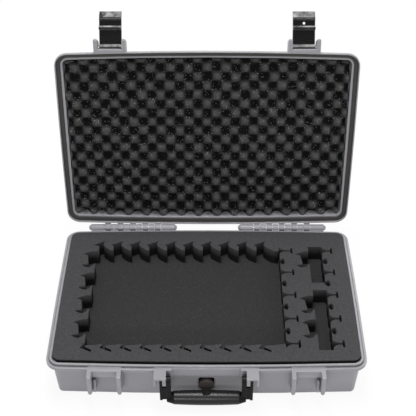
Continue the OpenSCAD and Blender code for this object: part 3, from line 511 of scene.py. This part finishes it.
def softened_block(node, name, edge, segments):
    """A sawn foam block from its plain solid, with the crisp edges relaxed."""
    work = bmesh.new()
    work.from_mesh(nodes[node].data)
    bmesh.ops.remove_doubles(work, verts=work.verts, dist=WELD * MM)
    bmesh.ops.dissolve_limit(work, angle_limit=FLAT_TURN, verts=work.verts, edges=work.edges)
    top = max(v.co.z for v in work.verts)
    open_slits(work)
    weigh_top_edges(work, top)
    mesh = bpy.data.meshes.new(name)
    work.to_mesh(mesh)
    work.free()
    piece = add_piece(name, mesh, BLOCK_FOAM, "base")
    bevel = piece.modifiers.new("relaxed_edge", "BEVEL")
    bevel.limit_method = "WEIGHT"
    bevel.width = edge * MM
    bevel.segments = segments
    settle_modifiers(piece)
    piece.data.shade_smooth()
    piece.data.set_sharp_from_angle(angle=BLOCK_SHARP)
    if top > LEDGE_Z * MM:
        mark_depth(piece.data, top)
        shade_slits(piece.data, top)
        draw_front_back(piece.data, top)
    else:
        mark_depth(piece.data, top + FLOOR_SHADE * DARK_BELOW * MM)
    return piece


def bowed(x, y):
    """A point of the straight-sided outline, moved out as the sides bow."""
    return (x * (1 + BOW_END * (1 - (2 * y / RIM_D) ** 2) / (RIM_W / 2)),
            y * (1 + BOW_LONG * (1 - (2 * x / RIM_W) ** 2) / (RIM_D / 2)))


def open_lid_place(x, y, z):
    """A point of the shut lid, in mm, where it stands once the lid is open."""
    return Matrix.Rotation(-LID_OPEN, 3, "X") @ (Vector((x, y, z)) * MM - HINGE) + HINGE


def crate_depth(u, v, rise):
    """How far the sheet's face lies below the tops of its bumps, u and v counted in half waves."""
    wave = math.cos(math.pi * u) * math.cos(math.pi * v)
    shaped = math.copysign(abs(wave) ** CRATE_FULLNESS, wave)
    return max(0.0, CRATE_DEEP * (1 - shaped) / 2 + rise)


def rounded_to_corner(x, y, hx, hy, r):
    """Draws a point of a straight-sided sheet in, so that its corners are round."""
    over_x, over_y = abs(x) - (hx - r), abs(y) - (hy - r)
    if over_x <= 0 or over_y <= 0:
        return x, y
    share = max(over_x, over_y) / math.hypot(over_x, over_y)
    return math.copysign(hx - r + over_x * share, x), math.copysign(hy - r + over_y * share, y)


def drawn_in(x, y, hx, hy, inset):
    """A point of the sheet's outline, drawn towards the middle by the inset of its nearest side."""
    reach = abs(x) if abs(x) / hx > abs(y) / hy else abs(y)
    share = 1 - inset / reach
    return x * share, y * share


def blended(jitter, u, v):
    """The uneven values of the four bumps and hollows round a point, mixed by how near each is."""
    i, j = min(int(u), CRATE_COLUMNS - 1), min(int(v), CRATE_ROWS - 1)
    s, t = u - i, v - j
    return [
        jitter[i, j][k] * (1 - s) * (1 - t) + jitter[i + 1, j][k] * s * (1 - t)
        + jitter[i, j + 1][k] * (1 - s) * t + jitter[i + 1, j + 1][k] * s * t
        for k in range(3)]


def uneven_bumps():
    """For each bump and hollow, how far it is off in height, across and down."""
    dice = random.Random(CRATE_SEED)
    jitter = {}
    for j in range(CRATE_ROWS + 1):
        for i in range(CRATE_COLUMNS + 1):
            jitter[i, j] = (
                dice.uniform(*CRATE_RISE),
                dice.uniform(-CRATE_SWAY, CRATE_SWAY), dice.uniform(-CRATE_SWAY, CRATE_SWAY))
    return jitter


def crate_face(work, hollow, nx, ny, hx, hy):
    """The wavy face of the sheet, and its corners row by row."""
    jitter = uneven_bumps()
    grid = []
    for j in range(ny + 1):
        row = []
        for i in range(nx + 1):
            u, v = i / CRATE_STEPS, j / CRATE_STEPS
            rise, shift_u, shift_v = blended(jitter, u, v)
            depth = crate_depth(u + shift_u, v + shift_v, rise)
            x, y = rounded_to_corner((2 * i / nx - 1) * hx, (2 * j / ny - 1) * hy, hx, hy, CRATE_CORNER)
            x, y = bowed(x, y)
            corner = work.verts.new(open_lid_place(x, y, LID_Z + CRATE_TOP + depth))
            # depth into a hollow, which the foam's colour turns into painted shade
            corner[hollow] = depth / CRATE_DEEP
            row.append(corner)
        grid.append(row)
    for j in range(ny):
        for i in range(nx):
            work.faces.new((grid[j][i], grid[j][i + 1], grid[j + 1][i + 1], grid[j + 1][i]))
    return grid


def crate_sheet():
    """The egg-crate foam of the lid: a wavy face, a straight side and a flat back."""
    nx, ny = CRATE_COLUMNS * CRATE_STEPS, CRATE_ROWS * CRATE_STEPS
    hx, hy = RIM_W / 2 - CRATE_IN, RIM_D / 2 - CRATE_IN
    work = bmesh.new()
    hollow = work.verts.layers.float.new("hollow")
    grid = crate_face(work, hollow, nx, ny, hx, hy)
    rim = grid[0] + [grid[j][nx] for j in range(1, ny + 1)]
    rim += grid[ny][nx - 1::-1] + [grid[j][0] for j in range(ny - 1, 0, -1)]
    back = []
    shut = Matrix.Rotation(LID_OPEN, 3, "X")
    for corner in rim:
        p = (shut @ (corner.co - HINGE) + HINGE) / MM
        x, y = drawn_in(p.x, p.y, hx, hy, CRATE_TAPER)
        low = work.verts.new(open_lid_place(x, y, LID_Z + CRATE_BACK))
        low[hollow] = CRATE_SIDE_SHADE
        back.append(low)
    count = len(rim)
    for k in range(count):
        work.faces.new((rim[(k + 1) % count], rim[k], back[k], back[(k + 1) % count]))
    work.faces.new(back)
    bmesh.ops.recalc_face_normals(work, faces=work.faces)
    mesh = bpy.data.meshes.new("crate_foam")
    work.to_mesh(mesh)
    work.free()
    piece = add_piece("crate_foam", mesh, CRATE_FOAM, "lid")
    mesh.shade_smooth()
    mesh.set_sharp_from_angle(angle=CRATE_SHARP)
    return piece


def add_foam():
    block = softened_block("pocket_foam", "pocket_block", *BLOCK_EDGE)
    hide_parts("pocket_foam")
    floor = softened_block("floor_foam", "floor_block", *FLOOR_EDGE)
    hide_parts("floor_foam")
    sheet = crate_sheet()
    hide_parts("lid_foam")


add_foam()

# ---------------------------------------------------------------- studio

FLOOR_HALF = 6.0              # metres, as all in this part
FLOOR_DROP = 0.0004           # so that the floor and the underside don't share a plane
FLOOR_GLOW = 0.92             # how much of the seen floor is plain white; the rest takes the shadow
SKY_LEVEL = 0.32
WHITE = (1.0, 1.0, 1.0, 1.0)
LAMPS = (                     # name, place, aimed at, width, height, watts
    ("overhead_lamp", (-0.1, 0.0, 2.3), (0.0, 0.05, 0.1), 1.4, 0.5, 34.0),
    ("front_lamp", (-0.3, -2.5, 1.10), (0.0, 0.0, 0.1), 1.0, 0.22, 15.0),
    ("side_lamp", (1.9, -0.5, 1.2), (0.0, 0.0, 0.15), 0.8, 1.0, 6.0),
    ("back_lamp", (0.2, 1.7, 1.5), (0.0, 0.1, 0.3), 1.4, 0.4, 14.0))


def white_to_camera(tree, shaded, seen, output):
    """Camera, glossy and transmission rays meet the seen shader, light itself the shaded one."""
    path = tree.add("ShaderNodeLightPath")
    either = tree.math("MAXIMUM", path.outputs["Is Camera Ray"], path.outputs["Is Glossy Ray"])
    either = tree.math("MAXIMUM", either, path.outputs["Is Transmission Ray"])
    mixed = tree.add("ShaderNodeMixShader", {0: either, 1: shaded, 2: seen})
    tree.add(output, {"Surface": mixed.outputs[0]})


def add_floor():
    mesh = bpy.data.meshes.new("floor")
    work = bmesh.new()
    bmesh.ops.create_grid(work, x_segments=1, y_segments=1, size=FLOOR_HALF)
    work.to_mesh(mesh)
    work.free()
    floor = bpy.data.objects.new("floor", mesh)
    floor.location.z = -FLOOR_DROP
    bpy.context.scene.collection.objects.link(floor)
    material = bpy.data.materials.new("studio_floor")
    material.use_nodes = True
    tree = Tree(material.node_tree)
    paper = tree.add("ShaderNodeBsdfDiffuse", {"Color": (0.80, 0.80, 0.80, 1.0)})
    lit = tree.add("ShaderNodeBsdfDiffuse", {"Color": (0.95, 0.95, 0.95, 1.0)})
    glow = tree.add("ShaderNodeEmission", {"Color": WHITE, "Strength": 1.0})
    seen = tree.add("ShaderNodeMixShader", {0: FLOOR_GLOW, 1: lit.outputs[0], 2: glow.outputs[0]})
    white_to_camera(tree, paper.outputs[0], seen.outputs[0], "ShaderNodeOutputMaterial")
    mesh.materials.append(material)


def add_sky():
    world = bpy.data.worlds.new("studio")
    world.use_nodes = True
    tree = Tree(world.node_tree)
    soft = tree.add("ShaderNodeBackground", {"Color": WHITE, "Strength": SKY_LEVEL})
    white = tree.add("ShaderNodeBackground", {"Color": WHITE, "Strength": 1.0})
    white_to_camera(tree, soft.outputs[0], white.outputs[0], "ShaderNodeOutputWorld")
    bpy.context.scene.world = world


def add_lamp(name, place, target, width, height, power):
    data = bpy.data.lights.new(name, "AREA")
    data.shape = "RECTANGLE"
    data.size = width
    data.size_y = height
    data.energy = power
    lamp = bpy.data.objects.new(name, data)
    lamp.location = place
    lamp.rotation_euler = (Vector(target) - Vector(place)).to_track_quat("-Z", "Y").to_euler()
    bpy.context.scene.collection.objects.link(lamp)


def add_studio():
    add_floor()
    add_sky()
    for lamp in LAMPS:
        add_lamp(*lamp)
    bpy.context.scene.view_settings.view_transform = "Standard"


add_studio()

# ---------------------------------------------------------------- end

bpy.context.view_layer.update()
